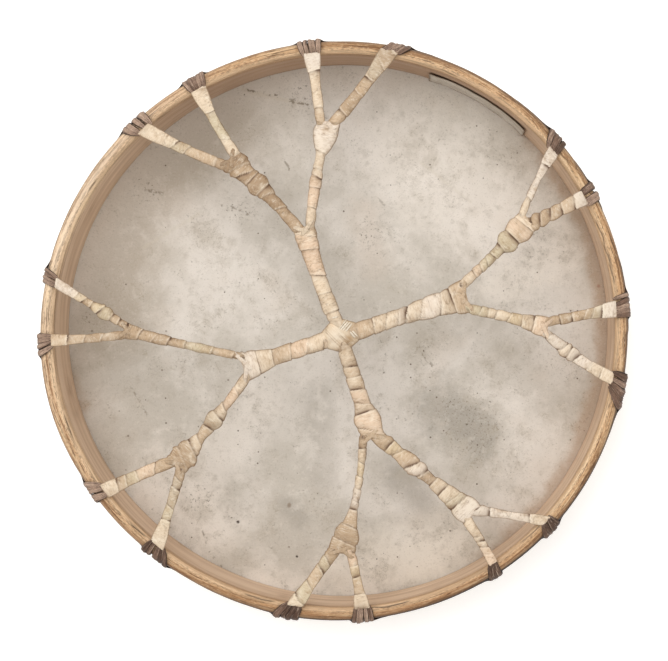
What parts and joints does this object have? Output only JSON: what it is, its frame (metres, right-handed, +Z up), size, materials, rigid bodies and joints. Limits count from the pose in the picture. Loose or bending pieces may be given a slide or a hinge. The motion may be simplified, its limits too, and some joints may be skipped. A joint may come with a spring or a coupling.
{
  "type": "frame drum",
  "caption": "Round frame drum lying on its drumhead, open back up: bent-wood hoop, raw hide head and a branching rawhide hand web laced to the rim.",
  "frame": {"origin": "centre of the drumhead's flat underside, which the drum lies on", "axes": "+Z up, out of the open back; +Y towards the top of the picture, +X to its right"},
  "size_m": [0.4115, 0.4053, 0.0675],
  "materials": {
    "wood": "oiled bent wood, golden tan with dark grain streaks and a few splits",
    "hide": "scraped raw hide, matt cream, mottled with grey and fine dark specks",
    "rawhide": "dried rawhide strip, semi-gloss, cream to peach with darker overlap edges",
    "lace": "brown sinew-like leather lace, matt and wrinkled",
    "paper": "plain grey-white paper, aged, bare of writing"
  },
  "bodies": {
    "root": {"drumhead": "hide", "hoop": "wood", "paper_label": "paper", "centre_knot": "rawhide", "trunk_north": "rawhide", "trunk_east": "rawhide", "trunk_south": "rawhide", "trunk_west": "rawhide", "bough_north_west": "rawhide", "bough_north_middle": "rawhide", "bough_east_north_east": "rawhide", "bough_east_south_east": "rawhide", "bough_south_east": "rawhide", "bough_south_middle": "rawhide", "bough_south_west": "rawhide", "bough_west_middle": "rawhide", "twig_01": "rawhide", "twig_02": "rawhide", "twig_03": "rawhide", "twig_04": "rawhide", "twig_05": "rawhide", "twig_06": "rawhide", "twig_07": "rawhide", "twig_08": "rawhide", "twig_09": "rawhide", "twig_10": "rawhide", "twig_11": "rawhide", "twig_12": "rawhide", "twig_13": "rawhide", "twig_14": "rawhide", "twig_15": "rawhide", "twig_16": "rawhide", "lashing_01": "lace", "lashing_02": "lace", "lashing_03": "lace", "lashing_04": "lace", "lashing_05": "lace", "lashing_06": "lace", "lashing_07": "lace", "lashing_08": "lace", "lashing_09": "lace", "lashing_10": "lace", "lashing_11": "lace", "lashing_12": "lace", "lashing_13": "lace", "lashing_14": "lace", "lashing_15": "lace", "lashing_16": "lace"}
  },
  "joints": []
}
